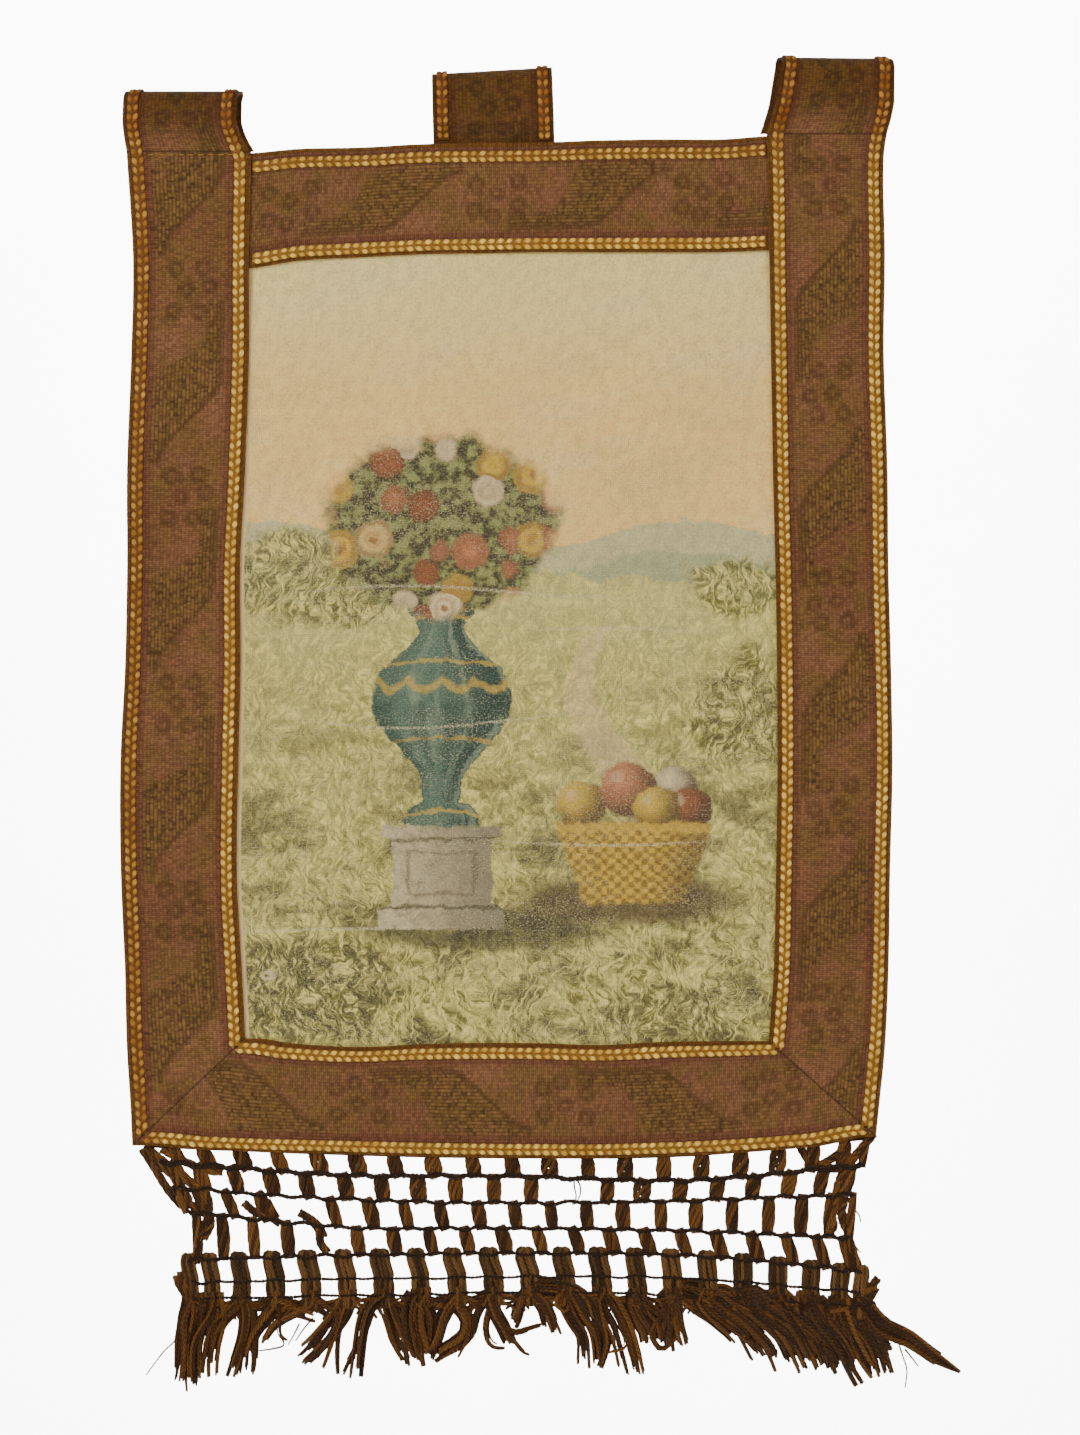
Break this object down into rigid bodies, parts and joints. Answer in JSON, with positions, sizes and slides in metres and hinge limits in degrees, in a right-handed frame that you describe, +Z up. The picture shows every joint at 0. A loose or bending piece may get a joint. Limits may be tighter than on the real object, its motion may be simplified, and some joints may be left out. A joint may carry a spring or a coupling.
{
  "type": "tapestry wall hanging",
  "caption": "Wall hanging: a picture cloth framed by patterned galloon and gold braid, with hanging loops for a rod and a knotted net fringe ending in loose tassels.",
  "frame": {"origin": "a point on the centre line of the level rod that the loops hang on, at the middle of the hanging's depth and near the middle of its width", "axes": "+Z up, X along the rod, +Y towards the wall behind; the picture faces -Y"},
  "size_m": [0.438, 0.0154, 0.6926],
  "materials": {
    "picture_cloth": "plain-woven cotton with a worn, faded picture in warm, muted colours",
    "galloon": "ribbed two-tone woven band in mauve-brown and olive-brown, matt",
    "dark_galloon": "the same ribbed band, less faded and darker, matt",
    "gold_braid": "chain-stitched metallic-looking gold yarn, soft sheen",
    "fringe_yarn": "loosely twisted dark brown cotton yarn, matt and fuzzy"
  },
  "bodies": {
    "root": {"picture_panel": "picture_cloth", "side_strip_left": "galloon", "side_strip_right": "galloon", "bottom_strip": "galloon", "top_strip": "galloon", "tab_left": "dark_galloon", "tab_centre": "dark_galloon", "tab_right": "dark_galloon", "braid_left_outer": "gold_braid", "braid_left_inner": "gold_braid", "braid_right_outer": "gold_braid", "braid_right_inner": "gold_braid", "braid_top_upper": "gold_braid", "braid_top_lower": "gold_braid", "braid_bottom_inner": "gold_braid", "braid_bottom_outer": "gold_braid", "braid_centre_left": "gold_braid", "braid_centre_right": "gold_braid", "fringe": "fringe_yarn"}
  },
  "joints": []
}
